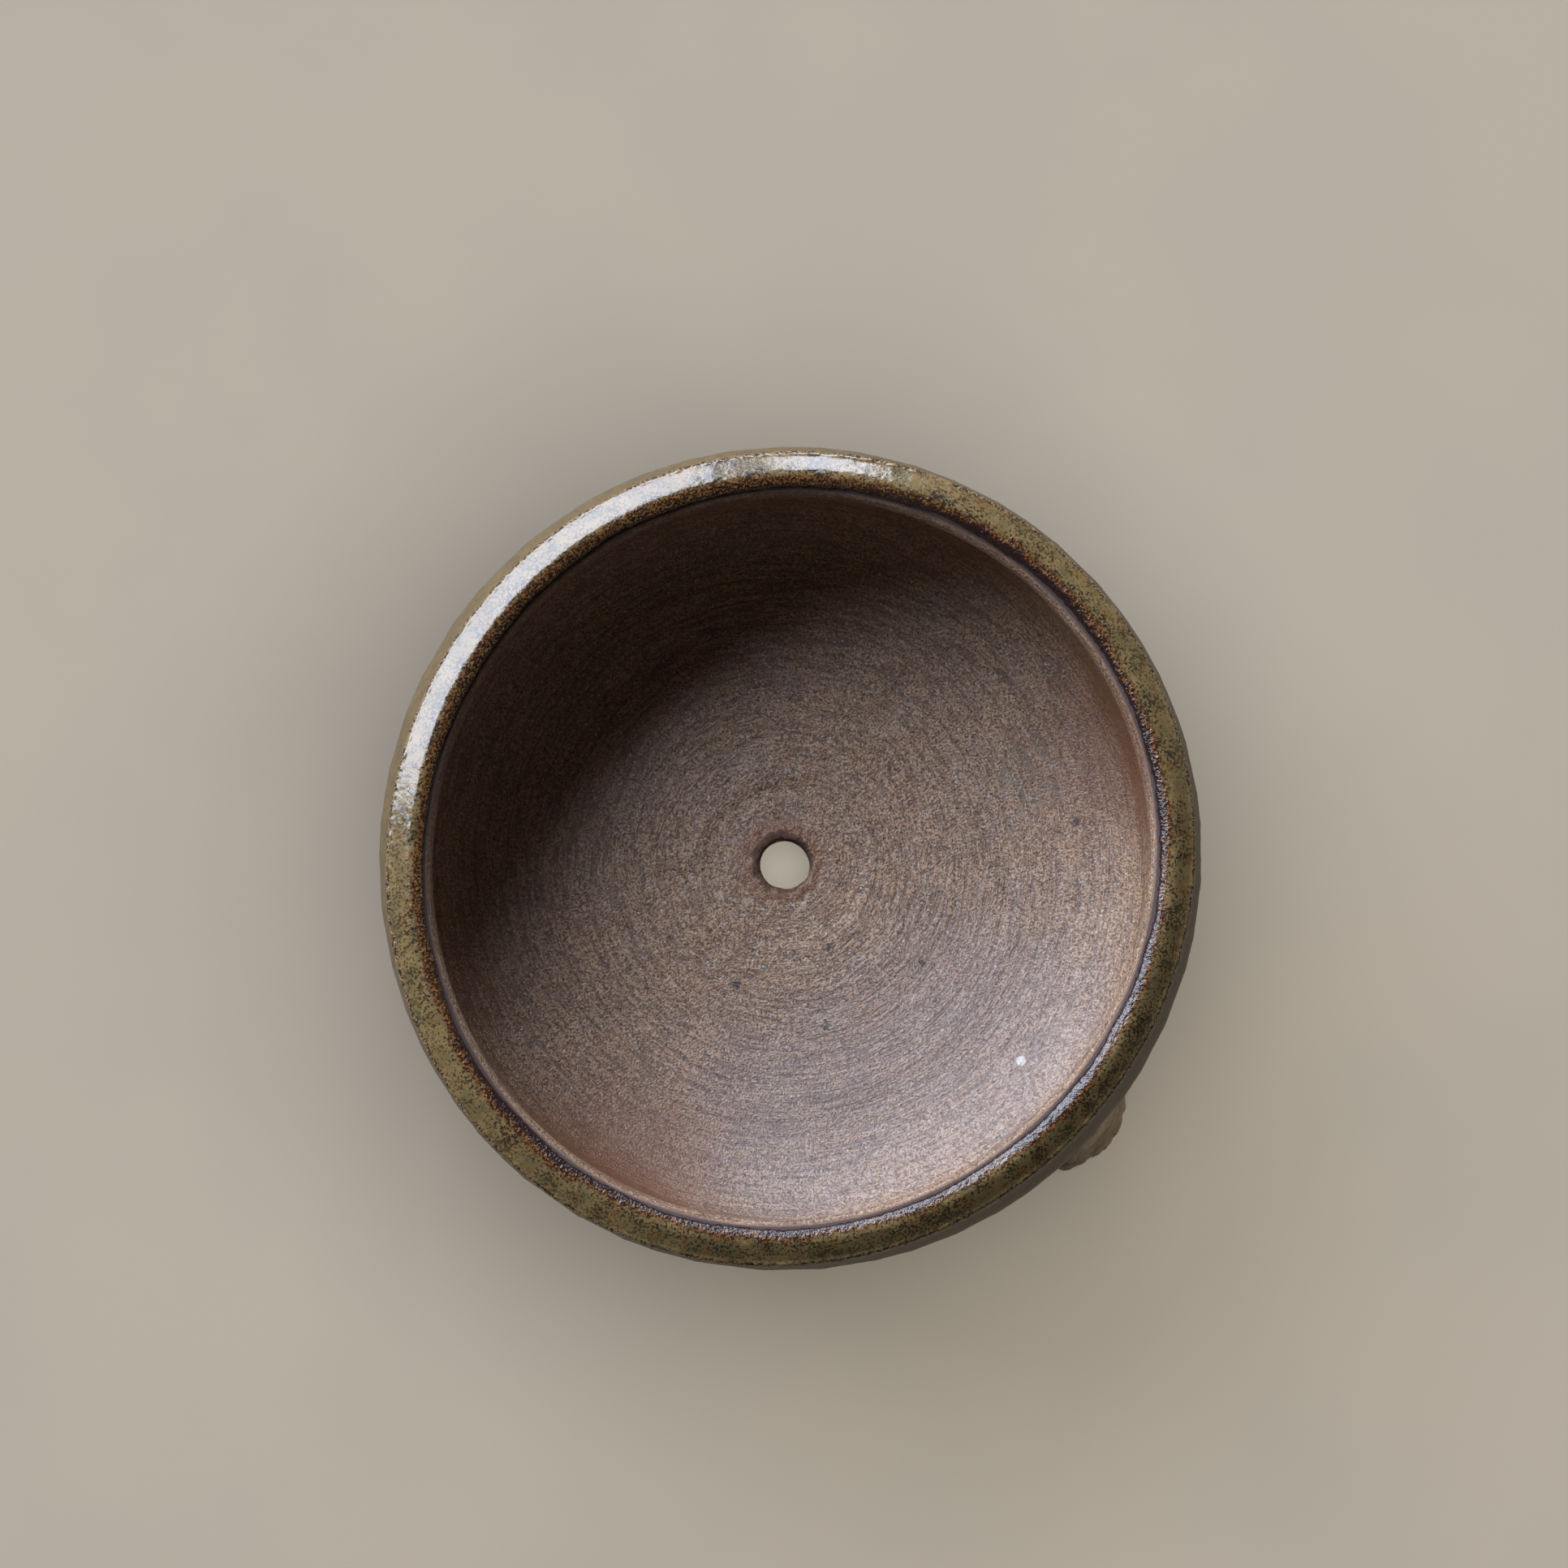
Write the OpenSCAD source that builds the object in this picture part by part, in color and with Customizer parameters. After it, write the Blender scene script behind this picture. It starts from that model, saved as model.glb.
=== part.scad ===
// Round bonsai pot: a thrown stoneware bowl with a rolled-in lip, a glaze coat and three luted feet.
// Millimetres. +Z is up, the origin is on the pot's axis, on the surface that the feet stand on.

/* [Bowl] */
// Greatest diameter of the glazed belly
belly_d = 165; // [120:1:220]
// Height of the glazed lip above the ground
pot_h = 68; // [55:1:90]
// Diameter across the outer corner of the lip, over the glaze
rim_d = 160.5; // [116:0.5:214]
// Clear diameter inside the lip
mouth_d = 142.4; // [96:0.2:194]
// Thickness of the wall at the belly, without glaze
wall_t = 6.4; // [4:0.2:9]
// Thickness of the base at the drain hole
base_t = 7; // [5:0.5:10]
// Diameter of the flat underside
base_d = 128; // [80:1:150]

/* [Drain hole] */
// Diameter of the drain hole
drain_d = 10.5; // [8:0.5:20]

/* [Glaze] */
// Thickness of the fused glaze
glaze_t = 0.6; // [0.4:0.1:1]
// Height of the line at the heel where the glaze stops
glaze_line_z = 14.6; // [14:0.1:16]
// Width of the lip's top face that carries glaze
glaze_lip_w = 7.6; // [6:0.2:8.4]

/* [Feet] */
// Height of the underside above the ground
foot_h = 12; // [9:0.5:14]
// Width of a foot across its flared edge
foot_w = 24; // [20:1:26]
// Width of a foot at its waist, under the heel of the bowl
foot_waist_w = 16; // [12:1:18]
// Reach of each foot from the pot's axis
foot_reach = [90, 85, 84];
// Direction of the first foot
first_foot_angle = 140; // [0:1:359]

/* [Hidden] */
$fn = 96;
STEPS = 6;         // straight stretches in each curve of an outline
foot_count = len(foot_reach);
foot_top_z = foot_h + 10.5;
clay_r = belly_d / 2 - glaze_t;
clay_top = pot_h - glaze_t;
corner_r = rim_d / 2 - glaze_t;
mouth_r = mouth_d / 2;
floor_z = foot_h + base_t;
belly_z = clay_top - 18;
inner_r = clay_r - wall_t;
glaze_edge_r = rim_d / 2 - glaze_lip_w;

// Points along a cubic Bezier curve, with the last point left out
function curve(a, b, c, d) = [
    for (i = [0 : STEPS - 1])
        let (t = i / STEPS, u = 1 - t)
            u*u*u * a + 3*u*u*t * b + 3*u*t*t * c + t*t*t * d
];

// Outside of the clay from the edge of the underside up to the glaze line
glaze_start = [base_d / 2 + 10, glaze_line_z];
heel = curve([base_d / 2, foot_h], [base_d / 2 + 4, foot_h],
             glaze_start - [2.6, 1.6], glaze_start);

// Outside of the clay under the glaze: up the wall to the belly, in to the corner and over the lip
low_wall = [clay_r - 2.7, foot_h + 14];
belly = [clay_r, belly_z];
corner = [corner_r, clay_top - 2.1];
crest = [corner_r - 4.2, clay_top];
glaze_end = [glaze_edge_r, clay_top - 1.1];
glazed = concat(
    curve(glaze_start, glaze_start + [3, 1.9], low_wall - [1.2, 6], low_wall),
    curve(low_wall, low_wall + [1.4, 7], belly - [0, 8], belly),
    curve(belly, belly + [0, 7], corner + [0.7, -5], corner),
    curve(corner, corner + [-2.2, 1.25], crest + [0.6, 0], crest),
    curve(crest, crest - [1, 0], glaze_end + [0.9, 0.45], glaze_end),
    [glaze_end]
);

// Inside of the clay: down the bare edge of the lip, under it and down the wall to the floor
lip = [mouth_r, clay_top - 4.4];
under_lip = [inner_r, clay_top - 14];
lower_wall = [inner_r - 3, floor_z + 11];
floor_edge = [inner_r - 39.5, floor_z + 0.3];
inside = concat(
    curve(glaze_end, glaze_end - [0.7, 0.5], lip + [0, 1.5], lip),
    curve(lip, lip - [0, 2.4], under_lip + [0, 6], under_lip),
    curve(under_lip, under_lip - [0, 8], lower_wall + [1.6, 5], lower_wall),
    curve(lower_wall, lower_wall - [3.6, 7.4], floor_edge + [20, 0.8], floor_edge),
    [floor_edge, [drain_d, floor_z], [0, floor_z]]
);

// Direction at right angles to an outline at its point i, pointing away from the clay
function outward(path, i) =
    let (along = path[min(i + 1, len(path) - 1)] - path[max(i - 1, 0)])
        [along.y, -along.x] / norm(along);

// Surface of the glaze, which thins away to nothing at both of its edges
glaze_face = [
    for (i = [len(glazed) - 2 : -1 : 1])
        let (from_end = min(i, len(glazed) - 1 - i) / STEPS)
            glazed[i] + outward(glazed, i) * glaze_t * min(1, 0.3 + from_end)
];

// The clay with nothing taken out of it, for seating the feet
module solid_clay() {
    rotate_extrude()
        polygon(concat([[0, foot_h]], heel, glazed, [[0, glaze_end.y]]));
}

module bowl() {
    color("#8d7767")
        difference() {
            rotate_extrude()
                polygon(concat([[0, foot_h]], heel, glazed, inside));
            translate([0, 0, foot_h - 1])
                cylinder(d = drain_d, h = base_t + 2);
        }
}

module glaze_coat() {
    color("#6f6a45")
        difference() {
            rotate_extrude()
                polygon(concat(glazed, glaze_face));
            for (i = [0 : foot_count - 1])
                foot_pad(i);
        }
}

// A pad of clay as it is before it is pressed on: waisted, and flaring out to a flat sole
module foot_pad(i) {
    sole_edge = [foot_w / 2 - 1, 0];
    flare = [foot_w / 2, 1.6];
    waist = [foot_waist_w / 2, foot_h + 1];
    pad = concat(
        curve(sole_edge, sole_edge + [0.7, 0], flare - [0, 0.8], flare),
        curve(flare, flare + [-0.8, 3.6], waist - [-0.6, 5], waist),
        curve(waist, waist + [-0.5, 4], [waist.x - 2, foot_top_z], [0, foot_top_z]),
        [[0, foot_top_z]]
    );
    rotate([0, 0, first_foot_angle + i * 360 / foot_count])
        translate([foot_reach[i] - foot_w / 2, 0, 0])
            rotate_extrude()
                polygon(concat([[0, 0]], pad));
}

// A foot, shaped to the heel of the bowl that it is pressed on under
module foot(i) {
    color("#6b5a40")
        difference() {
            foot_pad(i);
            solid_clay();
        }
}

bowl();
glaze_coat();
foot(0);  // foot_back_left
foot(1);  // foot_front
foot(2);  // foot_right
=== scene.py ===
# %% [markdown]
# # A round bonsai pot
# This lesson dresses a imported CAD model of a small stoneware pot: a thrown bowl, a coat of ash glaze
# over its rolled lip and outer wall, and three feet pressed on under the heel. The CAD model fixes every
# size. Here each piece is made again with the marks that the hand, the clay and the fire leave on it.

# %% The frame
import math

import bpy
import numpy as np
from mathutils import Matrix, Vector, noise


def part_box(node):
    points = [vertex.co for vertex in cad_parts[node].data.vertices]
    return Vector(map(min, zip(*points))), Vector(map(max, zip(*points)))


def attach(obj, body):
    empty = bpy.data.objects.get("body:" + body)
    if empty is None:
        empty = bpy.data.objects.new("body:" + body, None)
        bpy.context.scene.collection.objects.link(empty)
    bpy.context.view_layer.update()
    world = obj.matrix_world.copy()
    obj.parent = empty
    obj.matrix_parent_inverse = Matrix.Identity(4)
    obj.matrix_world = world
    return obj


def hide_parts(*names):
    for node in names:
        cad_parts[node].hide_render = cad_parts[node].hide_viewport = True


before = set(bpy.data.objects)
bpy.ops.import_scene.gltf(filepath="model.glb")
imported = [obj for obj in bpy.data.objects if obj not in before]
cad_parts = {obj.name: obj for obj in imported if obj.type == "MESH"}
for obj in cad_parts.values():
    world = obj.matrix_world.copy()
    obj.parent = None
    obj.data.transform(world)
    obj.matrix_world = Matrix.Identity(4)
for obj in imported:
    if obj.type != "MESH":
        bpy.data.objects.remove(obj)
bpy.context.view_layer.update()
print("nodes:", sorted(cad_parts))

# %% [markdown]
# ## Sizes
# A potter thinks in millimetres and in sections, so the outline is drawn in millimetres as a radius and
# a height. The main sizes come from the boxes of the CAD nodes. The few that a box can't give, such as
# the width of the lip, are repeated here from the part.

# %% Driving sizes in millimetres
mm = 0.001
belly_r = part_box("glaze_coat")[1].x / mm
top_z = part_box("glaze_coat")[1].z / mm
glaze_line_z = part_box("glaze_coat")[0].z / mm
underside_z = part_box("bowl")[0].z / mm
glaze_t, wall_t, base_t = 0.6, 6.4, 7.0
hole_r, mouth_r, corner_r, underside_r = 5.25, 71.2, 80.25, 64.0
glaze_lip_w = 7.6
floor_z = underside_z + base_t
print(f"belly {belly_r * 2:.1f} mm across, lip at {top_z:.1f} mm, underside at {underside_z:.1f} mm")

# %% [markdown]
# ## The camera
# The pot is looked down into from a metre above its lip, a little off its axis, so that the inside of the
# lip shows and one foot peeps out from under the wall. A long lens keeps the round of the lip round.

# %% The camera
seen_from = Vector((0.047, 0.063, 1.0))
looked_at = Vector((0.00244, -0.01288, 0.0))
seen_width = 0.309
lip_height = Vector((0, 0, top_z * mm))

camera = bpy.data.objects.new("camera", bpy.data.cameras.new("camera"))
bpy.context.scene.collection.objects.link(camera)
bpy.context.scene.camera = camera
back = seen_from - looked_at
camera.data.lens = camera.data.sensor_width * back.length / seen_width
across = Vector((0, -1, 0)).cross(back).normalized()
upward = back.cross(across).normalized()
turn = Matrix((across, upward, back.normalized())).transposed()
camera.matrix_world = Matrix.Translation(lip_height + seen_from) @ turn.to_4x4()
print(f"lens {camera.data.lens:.1f} mm, {back.length:.3f} m from the lip")

# %% [markdown]
# ## The light
# One tall window of cool daylight stands to one side. It draws the long white reflection along the lip,
# lights the far wall inside and leaves the near wall in deep shadow. A second, narrow one beside it adds
# a short reflection of its own. Soft panels do the same in a studio. A rectangle area light is such a
# panel, given by the angles at which it is seen from the pot.

# %% The windows
def panel(name, facing, low, high, width, away, colour, glow):
    """A panel of light that stands `away` metres off towards `facing`, from `low` to `high` degrees up."""
    foot, head = (away * math.tan(math.radians(angle)) for angle in (low, high))
    light = bpy.data.lights.new(name, "AREA")
    light.shape = "RECTANGLE"
    light.size, light.size_y = width, head - foot
    light.color = colour
    light.energy = glow * math.pi * width * (head - foot)
    standing = bpy.data.objects.new(name, light)
    bpy.context.scene.collection.objects.link(standing)
    turned = math.radians(facing)
    standing.location = (away * math.cos(turned), away * math.sin(turned), (foot + head) / 2)
    standing.rotation_euler = (math.radians(90), 0, turned + math.radians(90))
    standing.visible_camera = False
    print(f"{name}: {width:.2f} x {head - foot:.2f} m, {light.energy:.0f} W")
    return standing


daylight = (0.88, 0.96, 1.15)
panel("window", facing=312, low=16, high=58, width=3.3, away=2.5, colour=daylight, glow=9.4)
panel("narrow_window", facing=264, low=12, high=36, width=0.6, away=2.5, colour=daylight, glow=11.0)

# %% [markdown]
# The room itself gives next to no light, which keeps the shadows deep, but it has to look pale behind the
# pot from the side. The world is therefore pale to the eye and dim as a light.

# %% The room
pale_wall, dusk, dusk_strength = (0.45, 0.42, 0.37, 1), (1.0, 0.85, 0.7, 1), 0.025
room = bpy.data.worlds.new("room")
bpy.context.scene.world = room
room.use_nodes = True
nodes, links = room.node_tree.nodes, room.node_tree.links
seen_room = nodes["Background"]
seen_room.inputs["Color"].default_value = pale_wall
dim_room = nodes.new("ShaderNodeBackground")
dim_room.inputs["Color"].default_value = dusk
dim_room.inputs["Strength"].default_value = dusk_strength
who_looks = nodes.new("ShaderNodeLightPath")
either = nodes.new("ShaderNodeMixShader")
links.new(who_looks.outputs["Is Camera Ray"], either.inputs["Fac"])
links.new(dim_room.outputs[0], either.inputs[1])
links.new(seen_room.outputs[0], either.inputs[2])
links.new(either.outputs[0], nodes["World Output"].inputs["Surface"])
bpy.context.scene.view_settings.view_transform = "Standard"
print(f"the room is {pale_wall[:3]} to the eye and {dusk_strength} as a light")

# %% [markdown]
# Daylight also falls on the ground under the drain hole, so that the hole reads as a bright spot from
# above. A small lamp under the base stands in for it.

# %% The light under the drain hole
under_hole_lamp = bpy.data.lights.new("under_hole_lamp", "SPOT")
under_hole_lamp.energy = 0.018
under_hole_lamp.spot_size = math.radians(66)
under_hole_lamp.spot_blend = 0.2
under_hole_lamp.shadow_soft_size = 0.001
lamp = bpy.data.objects.new("under_hole_lamp", under_hole_lamp)
bpy.context.scene.collection.objects.link(lamp)
lamp.location = (0, 0, (underside_z - 0.5) * mm)
lamp.visible_camera = False
print(f"under_hole_lamp: {under_hole_lamp.energy:.3f} W, {lamp.location.z / mm:.1f} mm up")

# %% [markdown]
# ## Words for materials
# Every finish below is a small recipe of nodes. These helpers say the common steps in one line each:
# a node with its inputs, a cloud of noise of a given width in millimetres, a soft step, and a mix.

# %% Helpers for materials
def finish(name, ior, roughness):
    """A new material with its tree and shader."""
    material = bpy.data.materials.new(name)
    material.use_nodes = True
    shader = material.node_tree.nodes["Principled BSDF"]
    shader.inputs["IOR"].default_value = ior
    shader.inputs["Roughness"].default_value = roughness
    return material, material.node_tree, shader


def node(tree, kind, inputs, **settings):
    """One node. An input is a number, a colour or another node's output."""
    made = tree.nodes.new("ShaderNode" + kind)
    for key, value in settings.items():
        setattr(made, key, value)
    for key, value in inputs.items():
        if isinstance(value, bpy.types.NodeSocket):
            tree.links.new(value, made.inputs[key])
        else:
            made.inputs[key].default_value = value
    return made


def millimetres(tree):
    """The place on the object, in mm."""
    place = node(tree, "TexCoord", {}).outputs["Object"]
    return node(tree, "VectorMath", {0: place, "Scale": 1 / mm}, operation="SCALE").outputs[0]


def cloud(tree, place, width, detail=2.0, grit=0.5):
    """Noise from 0 to 1 whose soft spots are about `width` mm wide."""
    inputs = {"Vector": place, "Scale": 1 / width, "Detail": detail, "Roughness": grit}
    return node(tree, "TexNoise", inputs).outputs["Fac"]


def step(tree, value, start, end, low=0.0, high=1.0):
    """A soft step: low before start, high after end."""
    inputs = {"Value": value, "From Min": start, "From Max": end, "To Min": low, "To Max": high}
    return node(tree, "MapRange", inputs, interpolation_type="SMOOTHSTEP").outputs["Result"]


def maths(tree, operation, first, second=0.0, third=0.0):
    inputs = {0: first, 1: second, 2: third}
    return node(tree, "Math", inputs, operation=operation).outputs[0]


def times(tree, first, second):
    return maths(tree, "MULTIPLY", first, second)


def tint(tree, share, first, second):
    """The first colour with a share of the second."""
    first, second = (c if isinstance(c, bpy.types.NodeSocket) else (*c, 1) for c in (first, second))
    return node(tree, "Mix", {0: share, 6: first, 7: second}, data_type="RGBA").outputs[2]


def relief(tree, height, depth, before=None):
    """A bump `depth` mm deep, on top of an earlier one."""
    inputs = {"Height": height, "Distance": depth * mm}
    if before:
        inputs["Normal"] = before
    return node(tree, "Bump", inputs).outputs["Normal"]


def dress(piece, material):
    piece.data.materials.append(material)
    print(f"{piece.name}: {material.name}, {len(material.node_tree.nodes)} nodes")


# %% [markdown]
# ## The floor
# The floor is a wide, plain, pale sheet. Only the pot is the object; the floor is stage.

# %% The floor
floor_mesh = bpy.data.meshes.new("floor")
floor_r, floor_sides = 6.0, 96
turns = [i * math.tau / floor_sides for i in range(floor_sides)]
edge = [(floor_r * math.cos(t), floor_r * math.sin(t), 0) for t in turns]
floor_mesh.from_pydata(edge, [], [range(floor_sides)])
floor = bpy.data.objects.new("floor", floor_mesh)
bpy.context.scene.collection.objects.link(floor)

darker_paper, lighter_paper = (0.094, 0.084, 0.068), (0.098, 0.087, 0.070)
floor_paper, tree, shader = finish("pale_paper", ior=1.4, roughness=0.9)
mottle = step(tree, cloud(tree, millimetres(tree), 60, 3), 0.35, 0.65)
tree.links.new(tint(tree, mottle, darker_paper, lighter_paper), shader.inputs["Base Color"])
dress(floor, floor_paper)

# %% [markdown]
# A wide soft lamp overhead brightens only the floor. Light linking keeps it off the pot, so that the
# floor can be pale while the inside of the pot stays dark. A wide lamp is the right kind here, because
# it leaves no hard shadow of the pot on the floor.

# %% The floor's own lamp
floor_only = bpy.data.collections.new("floor_only")
floor_only.objects.link(floor)
floor_light = bpy.data.lights.new("floor_lamp", "AREA")
floor_light.size = 5.0
floor_light.color = (1.0, 0.97, 0.93)
floor_light.energy = 700
floor_lamp = bpy.data.objects.new("floor_lamp", floor_light)
bpy.context.scene.collection.objects.link(floor_lamp)
floor_lamp.location = (-0.4, 0.3, 3.6)
floor_lamp.rotation_euler = floor_lamp.location.to_track_quat("Z", "Y").to_euler()
floor_lamp.visible_camera = False
floor_lamp.light_linking.receiver_collection = floor_only
print(f"floor_lamp: {floor_light.size:.0f} m, {floor_light.energy:.0f} W, {floor_lamp.location.z:.1f} m up")

# %% [markdown]
# ## The outline
# A thrown pot is a body of revolution, so one outline says nearly all of it. Each stretch is a cubic
# Bezier curve between two named points, the same as in the CAD. Curves are better than a list of
# measured points: each stretch can be cut as finely as its surface needs.

# %% The outline's points
def curve(a, b, c, d, steps):
    """A cubic Bezier curve from a to d, without its last point."""
    t = np.linspace(0, 1, steps, endpoint=False)[:, None]
    u = 1 - t
    a, b, c, d = (np.array(p, float) for p in (a, b, c, d))
    return u**3 * a + 3 * u * u * t * b + 3 * u * t * t * c + t**3 * d


def line(a, b, steps):
    """A straight run from a to b, without its last point."""
    return curve(a, a + (b - a) / 3, b - (b - a) / 3, b, steps)


def point(r, z):
    return np.array([r, z], float)


clay_r, clay_top = belly_r - glaze_t, top_z - glaze_t
inner_r = clay_r - wall_t
under_edge = point(underside_r, underside_z)
glaze_start = point(underside_r + 10, glaze_line_z)
low_wall = point(clay_r - 2.7, underside_z + 14)
belly = point(clay_r, clay_top - 18)
corner = point(corner_r - glaze_t, clay_top - 2.1)
crest = corner + (-4.2, 2.1)
glaze_end = point(corner_r - glaze_lip_w, clay_top - 1.1)
lip = point(mouth_r, clay_top - 4.4)
under_lip = point(inner_r, clay_top - 14)
lower_wall = point(inner_r - 3, floor_z + 11)
floor_edge = point(inner_r - 39.5, floor_z + 0.3)


def outer_clay(low, high, shoulder, top, roll):
    """The clay under the glaze, from the glaze line up and over the lip, in that many steps."""
    return [
        curve(glaze_start, glaze_start + (3, 1.9), low_wall - (1.2, 6), low_wall, low),
        curve(low_wall, low_wall + (1.4, 7), belly - (0, 8), belly, high),
        curve(belly, belly + (0, 7), corner + (0.7, -5), corner, shoulder),
        curve(corner, corner + (-2.2, 1.25), crest + (0.6, 0), crest, top),
        curve(crest, crest - (1, 0), glaze_end + (0.9, 0.45), glaze_end, roll),
    ]


print("lip crest at", crest.round(1), "and glaze edge at", glaze_end.round(1))

# %% [markdown]
# ## Turning a section into a solid
# `turned` spins a closed loop round the pot's axis, as the wheel does. Then a hand-work function moves
# each point a little. It also stores where each point was thrown, so that a finish can follow the perfect
# pot, and how far along the section it lies.

# %% The wheel
def travelled(section):
    """How far along the section each point lies, in mm."""
    steps = np.linalg.norm(np.diff(section, axis=0), axis=1)
    return np.concatenate([[0], np.cumsum(steps)])


def outward(section, looped=True):
    """The direction away from the clay at each point of a section that runs anticlockwise."""
    ahead = np.roll(section, -1, axis=0) - np.roll(section, 1, axis=0)
    if not looped:
        ahead = np.gradient(section, axis=0)
    away = np.stack([ahead[:, 1], -ahead[:, 0]], axis=1)
    return away / np.linalg.norm(away, axis=1)[:, None]


def spun(pairs, around):
    """(radius, height) pairs at `around` angles, as x, y, z."""
    angles = np.arange(around) * math.tau / around
    x, y = (np.outer(f(angles), pairs[:, 0]) for f in (np.cos, np.sin))
    return np.stack([x, y, np.broadcast_to(pairs[:, 1], x.shape)], axis=-1)


def solid(name, places, faces, thrown, along):
    """A smooth mesh object from places in mm, with what the finishes need to know about each point."""
    mesh = bpy.data.meshes.new(name)
    mesh.from_pydata((places.reshape(-1, 3) * mm).tolist(), [], faces)
    kept = mesh.attributes.new("thrown", "FLOAT_VECTOR", "POINT")
    kept.data.foreach_set("vector", (thrown.reshape(-1, 3) * mm).astype(np.float32).ravel())
    far = mesh.attributes.new("along", "FLOAT", "POINT")
    far.data.foreach_set("value", along.astype(np.float32).ravel())
    mesh.shade_smooth()
    made = bpy.data.objects.new(name, mesh)
    bpy.context.scene.collection.objects.link(made)
    triangles = sum(len(face) - 2 for face in faces)
    print(f"{name}: {len(places.reshape(-1, 3))} points, {triangles} triangles")
    return made


def turned(name, section, around, hand_work, start=0.0, looped=True):
    """A closed solid of revolution from (radius, height) in mm: a loop, or a line that starts and ends
    at the axis, where a small face closes it."""
    count = len(section)
    thrown = spun(section, around)
    away = spun(outward(section, looped), around)
    along = np.broadcast_to(travelled(section) + start, (around, count))
    places = hand_work(thrown, away, along)
    i = np.arange(around)[:, None] * count
    j = np.arange(count if looped else count - 1)[None, :]
    i_next, j_next = np.roll(i, -1, axis=0), (j + 1) % count
    faces = np.stack([i + j, i_next + j, i_next + j_next, i + j_next], axis=-1).reshape(-1, 4).tolist()
    if not looped:
        faces.append(i[::-1, 0].tolist())
        faces.append((i[:, 0] + count - 1).tolist())
    return solid(name, places, faces, thrown, along)


def rough(places, width, seed, octaves=2):
    """Smooth random heights from about -1 to 1, in bumps about `width` mm wide."""
    away = Vector((31.7, 12.9, 7.3)) * seed
    flat = (places.reshape(-1, 3) / width).tolist()
    heights = [noise.fractal(Vector(p) + away, 1.0, 2.0, octaves) for p in flat]
    return np.array(heights).reshape(places.shape[:-1])


def between(value, start, end):
    """0 before start, 1 after end, and smooth between."""
    t = np.clip((value - start) / (end - start), 0, 1)
    return t * t * (3 - 2 * t)


def polar(places):
    """The radius and the angle of each place."""
    return np.hypot(places[..., 0], places[..., 1]), np.arctan2(places[..., 1], places[..., 0])


# %% [markdown]
# ## The hand in the pot
# No thrown pot is quite round. The wall of this one is, but its lip was lifted and turned in by hand,
# which left it a millimetre oval and leaning a little. Clay and glaze move together, so both use the
# same function.

# %% The oval lip
long_side = math.radians(52)
oval_mm, third_mm, rise_mm = 1.3, 0.3, 0.35
lean = np.array([0.94, 1.23, 0])
print(f"the lip stands out {oval_mm} mm at its long side and leans {np.linalg.norm(lean):.1f} mm")


def by_hand(places):
    """Places on the perfect pot, moved to where the potter's hands left them."""
    r, angle = polar(places)
    lifted = between(places[..., 2], floor_z, corner[1]) ** 6
    grown = oval_mm * np.cos(2 * (angle - long_side)) - third_mm * np.cos(3 * angle)
    stretch = 1 + grown * lifted / corner_r
    moved = places * np.stack([stretch, stretch, np.ones_like(r)], axis=-1) + lean * lifted[..., None]
    moved[..., 2] -= rise_mm * lifted * (0.5 - 0.5 * np.sin(2 * angle + 1.0))
    return moved


# %% [markdown]
# ## The bowl
# The bowl is one thrown piece of coarse brown stoneware. Its inside is bare: the potter's rib left fine
# rings over the floor, and cutting the drain hole raised a burr. The section below goes round the whole
# clay, so the solid is closed. The floor gets the most cuts, because its rings are the finest shape.

# %% The bowl's section
hole_under = point(hole_r + 0.9, underside_z)
hole_low = point(hole_r, underside_z + 0.9)
hole_high = point(hole_r, floor_z - 0.8)
burr_top = point(hole_r + 1.0, floor_z + 0.3)
burr_foot = point(hole_r + 2.8, floor_z)

clay_outside = np.concatenate([
    line(hole_under, under_edge, 28),
    curve(under_edge, under_edge + (4, 0), glaze_start - (2.6, 1.6), glaze_start, 10),
    *outer_clay(4, 5, 4, 4, 4),
])
clay_inside = np.concatenate([
    curve(glaze_end, glaze_end - (0.7, 0.5), lip + (0, 1.5), lip, 10),
    curve(lip, lip - (0, 2.4), under_lip + (0, 6), under_lip, 14),
    curve(under_lip, under_lip - (0, 8), lower_wall + (1.6, 5), lower_wall, 26),
    curve(lower_wall, lower_wall - (3.6, 7.4), floor_edge + (20, 0.8), floor_edge, 92),
    line(floor_edge, burr_foot, 80),
    curve(burr_foot, burr_foot - (0.9, 0), burr_top + (0.6, 0), burr_top, 4),
    curve(burr_top, burr_top - (0.6, 0), hole_high + (0, 0.6), hole_high, 4),
    line(hole_high, hole_low, 5),
    curve(hole_low, hole_low - (0, 0.5), hole_under - (0.5, 0), hole_under, 4),
])
bowl_section = np.concatenate([clay_outside, clay_inside])
to_glaze_edge = travelled(bowl_section)[len(clay_outside)]
print(f"{len(bowl_section)} points round the section, {to_glaze_edge:.0f} mm of them outside")

# %% [markdown]
# The rings are noise that is squeezed along the section and drawn out round the wheel, so each runs some
# way round and fades, as a real one does. Wider, softer lumps lie under them. The rib left a trough and
# a shelf round the drain hole, and a row of nicks further out.

# %% Marks in the clay
def wheel_marks(thrown, along, length, width, seed, octaves=2):
    """Ring marks `width` mm wide. A larger length makes them break up sooner."""
    angle = polar(thrown)[1]
    drawn = np.stack([along, length * np.cos(angle), length * np.sin(angle)], axis=-1)
    return rough(drawn, width, seed, octaves)


def ridge(value, middle, width):
    """A round ridge across `value`, 1 at its middle."""
    return np.exp(-(((value - middle) / width) ** 2))


trough_r, shelf_r, nicks_r = 15.6, 18.2, 46.5
trough_deepest = math.radians(-60)


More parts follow.
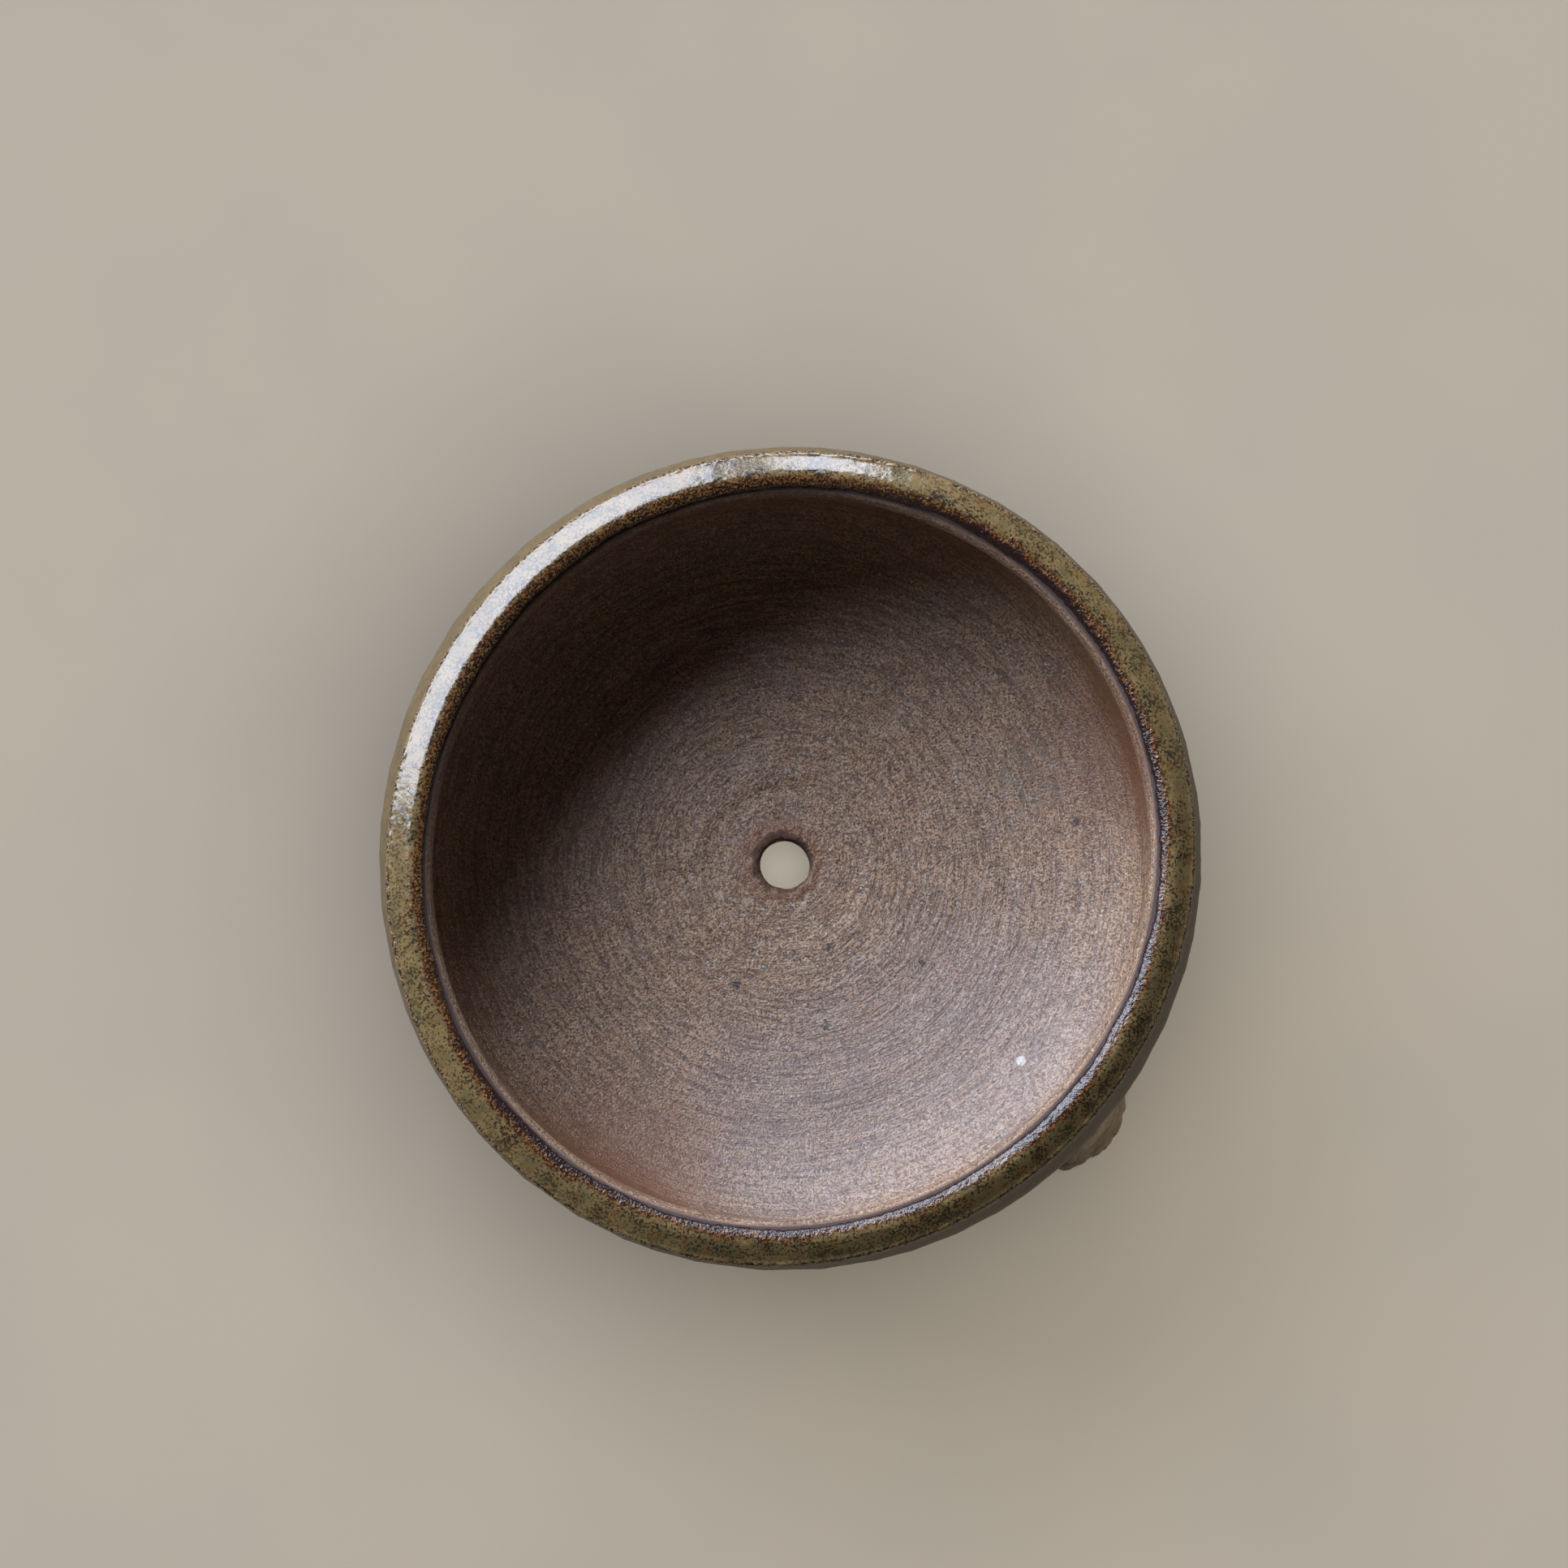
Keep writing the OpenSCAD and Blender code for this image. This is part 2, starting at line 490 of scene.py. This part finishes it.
def clay_work(thrown, away, along):
    r, angle = polar(thrown)
    inside = between(along, 4, 14)
    floor_part = inside * between(r, 9, 17) * between(-r, -66, -54)
    under = (thrown[..., 2] < underside_z + 2) & (along < 0)
    near_hole = between(-r, -9.5, -7) * between(thrown[..., 2], floor_z - 1, floor_z)
    one_sided = 0.55 + 0.45 * np.cos(angle - trough_deepest)
    nicked = between(wheel_marks(thrown, along, length=2, width=3, seed=5), 0, 0.5)
    push = 0.12 * floor_part * wheel_marks(thrown, along, length=4.2, width=1.0, seed=1, octaves=3)
    push += 0.22 * inside * wheel_marks(thrown, along, length=3.5, width=7, seed=2)
    push += 0.22 * inside * rough(thrown, width=13, seed=3)
    push += 0.05 * inside * rough(thrown, width=2.6, seed=4)
    push -= 0.22 * ridge(r, trough_r, 1.0) * one_sided
    push += 0.16 * ridge(r, shelf_r, 1.6) * inside
    push -= 0.15 * ridge(r, nicks_r, 0.7) * inside * nicked
    push += under * 0.14 * wheel_marks(thrown, along, length=1.5, width=2.2, seed=6)
    push += near_hole * 0.42 * rough(thrown, width=2.0, seed=7, octaves=3)
    return by_hand(thrown + away * push[..., None])


bowl = turned("bowl_clay", bowl_section, around=332, hand_work=clay_work, start=-to_glaze_edge)
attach(bowl, "root")
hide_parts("bowl")

# %% [markdown]
# ## The glaze
# The pot was dipped mouth down, so the ash glaze covers the outside and rolls over the lip. It could be
# only a colour on the clay, but it is made as a real skin, half a millimetre thick, because its inner edge
# shows: it wanders, and rises from the bare clay in a rounded bead that is rough with grains. Coarse grit
# also breaks through in a row along the outer corner of the lip.

# %% The glaze's section
glaze_root = 0.25
fine, coarse = (12, 18, 24, 26, 14), (2, 2, 2, 1, 1)
face = np.concatenate([*outer_clay(*fine), [glaze_end]])
hidden = np.concatenate([*outer_clay(*coarse), [glaze_end]])
hidden_under = hidden - outward(hidden, looped=False) * glaze_root
glaze_section = np.concatenate([face, hidden_under[::-1]])
face_length = travelled(face)[-1]
corner_at = travelled(np.concatenate(outer_clay(*fine)[3:]))[-1]
print(f"the glaze runs {face_length:.0f} mm down the section, and its corner is at {corner_at:.1f} mm")

# %% [markdown]
# The wall was scraped with a straight tool before glazing, which left narrow flats: from above they show
# as tiny corners in the outline. Each flat cuts the round by the depth of its chord.

# %% Marks in the glaze
flat_count = 58
flat_widths = np.random.default_rng(5).uniform(0.6, 1.4, flat_count)
flat_edges = np.concatenate([[0], np.cumsum(flat_widths)]) / flat_widths.sum() * math.tau


def scraped(angle):
    """How far a flat lies under the round wall, in mm."""
    angle = angle % math.tau
    at = np.clip(np.searchsorted(flat_edges, angle, side="right") - 1, 0, flat_count - 1)
    width = flat_edges[at + 1] - flat_edges[at]
    across = (angle - flat_edges[at]) / width
    return belly_r * width**2 / 2 * across * (1 - across)


def glaze_work(thrown, away, along):
    angle = polar(thrown)[1]
    out = -along
    shows = (out > -0.01) & (out < face_length + 0.01)
    wall = between(out, corner_at + 0.5, corner_at + 4)
    wander = wheel_marks(thrown, along * 0, length=30, width=5, seed=11, octaves=3)
    creep = 0.35 + 0.45 * wander + 0.25 * rough(thrown, width=0.9, seed=12)
    sag = wheel_marks(thrown, along * 0, length=30, width=9, seed=13, octaves=3)
    drip = face_length - 0.8 - 0.9 * sag
    thick = (glaze_t + 0.1) * between(out, creep - 0.2, creep + 0.7)
    thick *= between(-out, -drip, 1.6 - drip)
    thick += 0.3 * ridge(out, drip - 1.3, 1.1)
    grains = ridge(out, 1.6, 1.2) + 0.35 * ridge(out, 3.5, 1.5)
    push = thick - 0.1 + grains * 0.10 * rough(thrown, width=0.7, seed=14)
    grit = np.maximum(0, rough(thrown, width=0.8, seed=15) + 0.15)
    push += 0.34 * ridge(out, corner_at + 0.1, 0.35) * grit
    push += 0.1 * ridge(out, corner_at, 0.5)
    push += wall * 0.14 * wheel_marks(thrown, along, length=8, width=8, seed=16)
    push -= wall * scraped(angle + 0.02 * rough(thrown, width=9, seed=17))
    push += wall * 0.05 * wheel_marks(thrown, along * 0.12, length=60, width=2.5, seed=18)
    push += wall * 0.05 * rough(thrown, width=0.9, seed=20)
    push += 0.02 * rough(thrown, width=2.2, seed=19)
    return by_hand(thrown + away * (push * shows)[..., None])


glaze = turned("glaze_skin", glaze_section, around=960, hand_work=glaze_work, start=-face_length)
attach(glaze, "root")
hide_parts("glaze_coat")

# %% [markdown]
# ## The feet
# Each foot is a ball of clay that was pressed under the heel and pinched out at the bottom. Its sole
# flares to a crisp, dry edge, and the joint was smeared up the wall with a thumb. A foot is turned round
# its own axis first, like the CAD one, and then pinched, dented and smeared.

# %% The foot's section
foot_w = (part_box("foot_front")[1].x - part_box("foot_front")[0].x) / mm
foot_waist_w = 16
foot_top = point(0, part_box("foot_front")[1].z / mm)
sole_edge = point(foot_w / 2 - 1, 0)
flare = point(foot_w / 2, 1.6)
waist = point(foot_waist_w / 2, underside_z + 1)
foot_section = np.concatenate([
    line(point(0.3, 0.5), point(foot_w / 2 - 3, 0.1), 12),
    curve(point(foot_w / 2 - 3, 0.1), sole_edge - (1, 0), sole_edge - (0.6, 0), sole_edge, 6),
    curve(sole_edge, sole_edge + (0.7, 0), flare - (0, 0.8), flare, 10),
    curve(flare, flare + (-0.8, 3.6), waist - (-0.6, 5), waist, 54),
    curve(waist, waist + (-0.5, 4), point(waist[0] - 2, foot_top[1]), foot_top + (0.3, 0), 40),
])
outline = np.concatenate([
    line(point(0, underside_z), under_edge, 60),
    curve(under_edge, under_edge + (4, 0), glaze_start - (2.6, 1.6), glaze_start, 20),
    *outer_clay(30, 50, 20, 4, 4),
])
outline_away = outward(outline, looped=False)
print(f"each foot is {foot_w:.1f} mm across its sole and reaches {foot_top[1]:.1f} mm up")


def from_clay(places):
    """How far each place is outside the bowl's clay, in mm, and the way out."""
    r = polar(places)[0]
    flat = np.stack([r.ravel(), places[..., 2].ravel()], axis=1)
    gaps = flat[:, None, :] - outline[None, :, :]
    nearest = np.argmin((gaps**2).sum(axis=2), axis=1)
    ways = outline_away[nearest]
    depth = (gaps[np.arange(len(flat)), nearest] * ways).sum(axis=1)
    unit = places[..., :2] / r[..., None]
    level, upright = (part.reshape(*r.shape, 1) for part in (ways[:, 0], ways[:, 1]))
    way = np.concatenate([unit * level, upright], axis=-1)
    return depth.reshape(r.shape), way


# %% Pressing a foot on
smear_mm, buried_mm, dent_mm = 2.4, 2.0, 1.0
thumb_size, thumb_z = np.array([4.5, 4.5, 4.0]), 6.0
splay = 0.07


def press_on(middle, seed):
    """The hand work for a foot whose axis stands at `middle`."""
    facing = math.atan2(middle.y, middle.x)
    out_way = np.array([math.cos(facing), math.sin(facing), 0])
    side_way = np.array([-math.sin(facing), math.cos(facing), 0])

    def foot_work(thrown, away, along):
        low = between(-thrown[..., 2], -7, -1)
        pinch = 0.7 * rough(thrown, width=9, seed=seed) + 0.3 * rough(thrown, width=3, seed=seed + 1)
        pinch += low * 0.4 * rough(thrown, width=2.4, seed=seed + 2, octaves=3)
        places = thrown + away * pinch[..., None]
        sideways = (places * side_way).sum(axis=-1)
        places = places + splay * sideways[..., None] * side_way
        thumb = (foot_w / 2 - 3) * out_way + np.array([0, 0, thumb_z])
        dent = np.exp(-(((places - thumb) / thumb_size) ** 2).sum(axis=-1))
        places = places - dent_mm * dent[..., None] * out_way
        places = places + np.array([middle.x, middle.y, 0]) / mm
        depth, way = from_clay(places)
        smear = smear_mm * np.exp(-np.maximum(depth, 0) / smear_mm) * between(thrown[..., 2], 3, 9)
        places = places + away * smear[..., None]
        depth, way = from_clay(places)
        places = places + way * np.maximum(-buried_mm - depth, 0)[..., None]
        places[..., 2] = np.maximum(places[..., 2], 0)
        return places

    return foot_work


feet = {}
for seed, side in enumerate(("back_left", "front", "right"), start=30):
    low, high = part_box("foot_" + side)
    pressed = press_on((low + high) / 2, seed * 3)
    feet[side] = turned("foot_pad_" + side, foot_section, around=260, hand_work=pressed, looped=False)
    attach(feet[side], "root")
    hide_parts("foot_" + side)

# %% [markdown]
# The foot at the back is the one that shows from above. A pale card beside it throws some light back on
# its outer side, as a pale cloth would. It is linked to that foot alone.

# %% A card for the foot
foot_only = bpy.data.collections.new("foot_only")
foot_only.objects.link(feet["back_left"])
cloth_light = (1.0, 0.93, 0.82)
card = panel("foot_card", facing=186, low=4, high=26, width=0.8, away=1.2, colour=cloth_light, glow=4.6)
card.light_linking.receiver_collection = foot_only

# %% [markdown]
# ## The finish of the bare clay
# Coarse stoneware fired in wood ash is never one colour. Sandy grains stand in a rust-brown ground, broken
# by rings and fine cracks, and each grain that faces the light glints. On top of that lie the orange
# blushes of the flame on the wall, a painted sheen (a grey tint on the lit side of the floor, standing in
# for the cool reflection of the window), and a few bits that burned out white or black. Each of these is
# its own layer of nodes, so that one can be changed without the others.

# %% Words that the finishes share
def attribute(tree, name, output):
    """What the mesh stores at each point under a name."""
    return node(tree, "Attribute", {}, attribute_name=name).outputs[output]


def thrown_mm(tree):
    """Where the point was thrown, in mm."""
    place = attribute(tree, "thrown", "Vector")
    return node(tree, "VectorMath", {0: place, "Scale": 1 / mm}, operation="SCALE").outputs[0]


def spot(tree, place, middle, inner, outer):
    """1 within `inner` mm of the middle, fading to 0 at `outer` mm."""
    gap = node(tree, "VectorMath", {0: place, 1: middle}, operation="DISTANCE").outputs["Value"]
    return step(tree, gap, inner, outer, 1.0, 0.0)


def flattened(tree, place):
    """The place without its height."""
    return node(tree, "VectorMath", {0: place, 1: (1, 1, 0)}, operation="MULTIPLY").outputs[0]


def round_place(tree, circle, stretch):
    """A place for noise that runs with the wheel: `circle` sets how often it changes on the way round,
    and `stretch` how fast along the section."""
    flat = flattened(tree, attribute(tree, "thrown", "Vector"))
    unit = node(tree, "VectorMath", {0: flat}, operation="NORMALIZE").outputs[0]
    ring = node(tree, "VectorMath", {0: unit, "Scale": circle}, operation="SCALE").outputs[0]
    rise = maths(tree, "MULTIPLY", attribute(tree, "along", "Fac"), stretch)
    up = node(tree, "CombineXYZ", {"Z": rise}).outputs[0]
    return node(tree, "VectorMath", {0: ring, 1: up}, operation="ADD").outputs[0]


def radius(tree, place):
    """How far a place is from the pot's axis."""
    return node(tree, "VectorMath", {0: flattened(tree, place)}, operation="LENGTH").outputs["Value"]


def tint_number(tree, share, first, second):
    """The first number with a share of the second."""
    return node(tree, "Mix", {0: share, 2: first, 3: second}, data_type="FLOAT").outputs[0]


# %% Sand, rings and cracks
grain_mm = 0.42
rust_ground, brown_ground = (0.172, 0.074, 0.028), (0.148, 0.070, 0.031)
warm_sand, pale_sand = (0.445, 0.280, 0.155), (0.405, 0.270, 0.163)
ring_brown, crack_rust = (0.105, 0.047, 0.022), (0.092, 0.034, 0.012)
white_grain, black_grain = (0.52, 0.45, 0.38), (0.045, 0.03, 0.026)


def sandy_clay(tree, place):
    """The colour of the sandy clay, with the patterns in it: grain, each grain's lot, rings and cracks."""
    cells = node(tree, "TexVoronoi", {"Vector": place, "Scale": 1 / grain_mm})
    lot = node(tree, "SeparateColor", {"Color": cells.outputs["Color"]}).outputs
    grain = cloud(tree, place, grain_mm, 2, 0.6)
    rings = cloud(tree, round_place(tree, 4.2, 1.0), 0.75, 4, 0.65)
    crack = step(tree, cloud(tree, place, 1.0, 4, 0.7), 0.46, 0.38, 0.0, 0.6)
    ground = tint(tree, step(tree, cloud(tree, place, 16, 3), 0.35, 0.65), rust_ground, brown_ground)
    sand = tint(tree, step(tree, cloud(tree, place, 9, 3), 0.35, 0.65), warm_sand, pale_sand)
    colour = tint(tree, step(tree, grain, 0.40, 0.54), ground, sand)
    colour = tint(tree, step(tree, rings, 0.54, 0.40, 0.0, 0.6), colour, ring_brown)
    colour = tint(tree, crack, colour, crack_rust)
    colour = tint(tree, step(tree, lot["Red"], 0.92, 0.96, 0.0, 0.6), colour, white_grain)
    colour = tint(tree, step(tree, lot["Green"], 0.92, 0.96, 0.0, 0.8), colour, black_grain)
    return colour, grain, lot, rings, crack


# %% Blushes of the flame, and a painted sheen
orange_blush = ((-66, -22, 44), (34, 62, 40))
# Where the grey tint lies: the lit side of the floor. It is painted sheen, not a blush.
sheen_grey_spots = ((-42, 36, 21), (-4, 56, 21))
olive_patch = (-49.1, -17.7, 21)
orange, painted_sheen_grey, olive = (0.175, 0.060, 0.017), (0.22, 0.20, 0.205), (0.17, 0.15, 0.105)


def flame_marks_and_sheen(tree, place, thrown, colour):
    # A grey tint on the lit side of the floor: painted sheen, standing in for the cool reflection of the
    # window.
    for middle in sheen_grey_spots:
        colour = tint(tree, times(tree, spot(tree, thrown, middle, 6, 42), 0.35), colour, painted_sheen_grey)
    broken = step(tree, cloud(tree, place, 3, 3), 0.42, 0.6)
    patchy = times(tree, spot(tree, thrown, olive_patch, 2, 14), broken)
    colour = tint(tree, times(tree, patchy, 0.5), colour, olive)
    for middle in orange_blush:
        colour = tint(tree, times(tree, spot(tree, thrown, middle, 10, 34), 0.8), colour, orange)
    return colour


# %% Bits that burned out
white_chip = (-48.3, 40.6, 23)
lime_blooms = ((13.5, 6.5, 19), (8.0, 7.6, 19), (-3.6, 8.4, 19))
floor_pits = ((10, 24.5, 19), (-8.8, 17.3, 19), (-8.4, 33.4, 19), (-28.1, 20.3, 19))
dark_pits = ((-60, -8.8, 22), *floor_pits, (15.1, -48.1, 20))
chip_white, lime_cream, pit_black = (0.55, 0.53, 0.48), (0.55, 0.46, 0.33), (0.04, 0.02, 0.015)
shake_mm = 3.2


def burnt_bits(tree, place, thrown, colour):
    """One round chip, and blooms and pits whose edges are shaken by noise."""
    fleck = node(tree, "TexNoise", {"Vector": place, "Scale": 1.1, "Detail": 2.0}).outputs["Color"]
    pushed = {0: fleck, 1: (shake_mm,) * 3, 2: thrown}
    pushed = node(tree, "VectorMath", pushed, operation="MULTIPLY_ADD").outputs[0]
    centred = {0: pushed, 1: (shake_mm / 2,) * 3}
    shaken = node(tree, "VectorMath", centred, operation="SUBTRACT").outputs[0]
    colour = tint(tree, spot(tree, thrown, white_chip, 0.8, 1.2), colour, chip_white)
    for bloom in lime_blooms:
        colour = tint(tree, times(tree, spot(tree, shaken, bloom, 0.3, 1.6), 0.6), colour, lime_cream)
    for pit in dark_pits:
        colour = tint(tree, spot(tree, shaken, pit, 0.5, 1.3), colour, pit_black)
    return colour


# %% Rust round the drain hole
halo_orange, rim_rust = (0.23, 0.085, 0.027), (0.085, 0.030, 0.010)
torn_mm = 1.2


def torn_side(tree, place):
    """The burr is wider where the drain hole was cut last: less radius there, more across from it."""
    towards = {0: place, 1: (-0.13, 0.08, 0)}
    lean = node(tree, "VectorMath", towards, operation="DOT_PRODUCT").outputs["Value"]
    return maths(tree, "MINIMUM", maths(tree, "MAXIMUM", lean, -torn_mm), torn_mm)


def rusty_rim(tree, place, thrown, colour):
    """The colour with rust round the hole, and where the rust is."""
    frayed = maths(tree, "MULTIPLY_ADD", cloud(tree, place, 1.6, 3, 0.6), 3.6, -1.8)
    torn = maths(tree, "ADD", radius(tree, thrown), maths(tree, "ADD", frayed, torn_side(tree, thrown)))
    rust_ring = step(tree, torn, hole_r + 0.5, hole_r + 1.5, 0.9, 0.0)
    colour = tint(tree, step(tree, torn, hole_r + 1.5, hole_r + 5, 0.6, 0.0), colour, halo_orange)
    return tint(tree, rust_ring, colour, rim_rust), rust_ring


# %% Bare clay
band_brown_and_shade, painted_shadow_line_black = (0.11, 0.055, 0.030), (0.04, 0.018, 0.012)


def bare_clay():
    material, tree, shader = finish("bare_clay", ior=1.9, roughness=0.45)
    place, thrown = millimetres(tree), thrown_mm(tree)
    along = attribute(tree, "along", "Fac")
    colour, grain, lot, rings, crack = sandy_clay(tree, place)
    colour = flame_marks_and_sheen(tree, place, thrown, colour)
    colour = burnt_bits(tree, place, thrown, colour)
    colour, rust_ring = rusty_rim(tree, place, thrown, colour)
    smooth_band = step(tree, along, 0.4, 1.3, 1.0, 0.0)
    # The smooth, dry band under the glaze edge is darker brown: partly its own colour, partly painted shade
    # under the lip's bead.
    colour = tint(tree, times(tree, smooth_band, 0.7), colour, band_brown_and_shade)
    # A nearly black line where the clay meets the glaze: painted shadow of the glaze's bead.
    colour = tint(tree, step(tree, along, 0.0, 0.4, 1.0, 0.0), colour, painted_shadow_line_black)
    tree.links.new(colour, shader.inputs["Base Color"])
    glint = step(tree, lot["Blue"], 0.2, 0.9, 0.48, 0.30)
    dry = maths(tree, "MAXIMUM", smooth_band, rust_ring)
    tree.links.new(tint_number(tree, dry, glint, 0.95), shader.inputs["Roughness"])
    height = maths(tree, "ADD", grain, times(tree, lot["Red"], 0.25))
    bumps = relief(tree, tint_number(tree, smooth_band, height, 0.5), 0.30)
    bumps = relief(tree, tint_number(tree, smooth_band, crack, 0.0), -0.10, bumps)
    bumps = relief(tree, tint_number(tree, smooth_band, rings, 0.5), 0.34, bumps)
    tree.links.new(bumps, shader.inputs["Normal"])
    return material


dress(bowl, bare_clay())

# %% [markdown]
# ## The finish of the ash glaze
# Wood ash melts into a khaki glass that pools and breaks. Over the lip it is mottled with ochre and
# peppered with dark iron. Where it thins out towards its inner edge it turns to rust and then, along the
# edge itself, nearly black, with gold grains on the side where the flame came in. A thin dark line at the
# very edge is painted shadow of the glaze's bead. The wall below is a duller khaki with faint runs. All of
# it is one material, because the glaze is one coat: how far a point lies from the inner edge says which of
# these it is.

# %% The khaki of the lip
light_khaki, dark_khaki, ochre_brown = (0.208, 0.142, 0.058), (0.148, 0.110, 0.046), (0.180, 0.096, 0.031)
iron_black = (0.022, 0.016, 0.011)


def khaki_glass(tree, place, ochre, edge):
    mottle = step(tree, cloud(tree, place, 4, 3), 0.4, 0.62)
    khaki = tint(tree, ochre, tint(tree, mottle, light_khaki, dark_khaki), ochre_brown)
    specks = maths(tree, "MULTIPLY_ADD", cloud(tree, place, 5, 2), 0.4, cloud(tree, place, 0.55, 3, 0.7))
    nearness = step(tree, edge, 3.0, 8.0, 0.95, 0.6)
    return tint(tree, times(tree, step(tree, specks, 0.69, 0.75), nearness), khaki, iron_black)


# %% The thin inner edge
flame_side = (62, -50, 66)
edge_purple, edge_gold, painted_shadow_line_brown = (0.024, 0.012, 0.010), (0.215, 0.120, 0.040), (0.03, 0.012, 0.008)
dark_rust, light_rust = (0.032, 0.013, 0.007), (0.200, 0.085, 0.026)


def thin_edge(tree, place, khaki, edge, out):
    """The khaki with rust and purple along the inner edge of the glaze, and a painted shadow line at the
    very edge.
    """
    rust_grain = step(tree, cloud(tree, place, 0.5, 2, 0.6), 0.47, 0.6)
    rust = tint(tree, rust_grain, dark_rust, light_rust)
    gold_grain = step(tree, cloud(tree, place, 0.45, 1, 0.6), 0.48, 0.58)
    golden = times(tree, gold_grain, spot(tree, thrown_mm(tree), flame_side, 50, 100))
    purple = tint(tree, golden, edge_purple, edge_gold)
    colour = tint(tree, step(tree, edge, 1.4, 2.1), purple, rust)
    colour = tint(tree, step(tree, edge, 2.4, 3.3), colour, khaki)
    # A dark line along the very edge: painted shadow of the glaze's bead.
    return tint(tree, step(tree, out, 0.1, 0.4, 0.8, 0.0), colour, painted_shadow_line_brown)


# %% The wall
light_wall, dark_wall, wall_mottle = (0.128, 0.084, 0.027), (0.104, 0.066, 0.021), (0.084, 0.055, 0.019)
wall_ochre, wall_fleck = (0.150, 0.078, 0.024), (0.03, 0.022, 0.012)


def wall_glaze(tree, place, ochre):
    runs = cloud(tree, round_place(tree, 48, 0.2), 2.4, 3)
    wall = tint(tree, step(tree, runs, 0.3, 0.7), light_wall, dark_wall)
    mottle = step(tree, cloud(tree, place, 3.2, 4, 0.6), 0.42, 0.62, 0, 0.7)
    wall = tint(tree, mottle, wall, wall_mottle)
    wall = tint(tree, times(tree, ochre, 0.35), wall, wall_ochre)
    fleck = step(tree, cloud(tree, place, 0.8, 2, 0.7), 0.58, 0.66, 0.0, 0.7)
    return tint(tree, fleck, wall, wall_fleck)


# %% Ash glaze
dark_grit, pale_grit = (0.03, 0.016, 0.008), (0.26, 0.17, 0.08)


def ash_glaze():
    material, tree, shader = finish("ash_glaze", ior=1.6, roughness=0.2)
    place = millimetres(tree)
    out = times(tree, attribute(tree, "along", "Fac"), -1.0)
    ragged = maths(tree, "MULTIPLY_ADD", cloud(tree, place, 1.4, 3, 0.65), 2.6, -1.3)
    drift = maths(tree, "MULTIPLY_ADD", cloud(tree, place, 14, 2), 3.0, -1.5)
    edge = maths(tree, "ADD", out, maths(tree, "ADD", ragged, drift))
    ochre = step(tree, cloud(tree, place, 2.6, 3, 0.6), 0.5, 0.66, 0.0, 0.75)
    lip_colour = thin_edge(tree, place, khaki_glass(tree, place, ochre, edge), edge, out)
    beyond = step(tree, out, corner_at + 0.2, corner_at + 1.6)
    colour = tint(tree, beyond, lip_colour, wall_glaze(tree, place, ochre))
    grit = cloud(tree, place, 0.5, 2, 0.6)
    gritty = tint(tree, step(tree, grit, 0.45, 0.6), dark_grit, pale_grit)
    at_corner = maths(tree, "ABSOLUTE", maths(tree, "SUBTRACT", out, corner_at + 0.1))
    on_corner = step(tree, at_corner, 0.15, 0.45, 1.0, 0.0)
    broken = step(tree, cloud(tree, place, 2.5, 2), 0.35, 0.5)
    colour = tint(tree, times(tree, on_corner, broken), colour, gritty)
    tree.links.new(colour, shader.inputs["Base Color"])
    gloss = step(tree, grit, 0.4, 0.65, 0.13, 0.22)
    tree.links.new(tint_number(tree, beyond, gloss, 0.6), shader.inputs["Roughness"])
    near_edge = maths(tree, "MAXIMUM", step(tree, edge, 1.5, 3.5, 1.0, 0.08), times(tree, beyond, 0.6))
    skin = relief(tree, times(tree, cloud(tree, place, 0.6, 2, 0.6), near_edge), 0.25)
    skin = relief(tree, cloud(tree, place, 2.5, 3), 0.08, skin)
    tree.links.new(skin, shader.inputs["Normal"])
    return material


dress(glaze, ash_glaze())

# %% [markdown]
# ## The finish of the feet
# The feet took the same ash glaze, thinly, so they are a browner olive, flecked all over. It was wiped off
# the sole, which stays bare and dark up to a ragged line.

# %% Thin glaze on the feet
light_olive, brown_olive = (0.20, 0.135, 0.070), (0.135, 0.095, 0.052)
olive_fleck, bare_sole = (0.05, 0.035, 0.022), (0.07, 0.042, 0.026)


def foot_glaze():
    material, tree, shader = finish("foot_glaze", ior=1.55, roughness=0.42)
    place = millimetres(tree)
    height = node(tree, "SeparateXYZ", {"Vector": place}).outputs["Z"]
    colour = tint(tree, step(tree, cloud(tree, place, 4, 3), 0.38, 0.62), light_olive, brown_olive)
    fleck = step(tree, cloud(tree, place, 0.7, 2, 0.7), 0.56, 0.66, 0.0, 0.7)
    colour = tint(tree, fleck, colour, olive_fleck)
    ragged = maths(tree, "MULTIPLY_ADD", cloud(tree, place, 1.4, 3, 0.65), 2.4, -1.2)
    bare = step(tree, maths(tree, "ADD", height, ragged), 0.5, 1.8, 1.0, 0.0)
    tree.links.new(tint(tree, bare, colour, bare_sole), shader.inputs["Base Color"])
    tree.links.new(tint_number(tree, bare, 0.4, 0.8), shader.inputs["Roughness"])
    skin = relief(tree, cloud(tree, place, 0.6, 2, 0.6), 0.12)
    skin = relief(tree, cloud(tree, place, 2.5, 3), 0.3, skin)
    tree.links.new(skin, shader.inputs["Normal"])
    return material


thin_glaze = foot_glaze()
for foot in feet.values():
    dress(foot, thin_glaze)
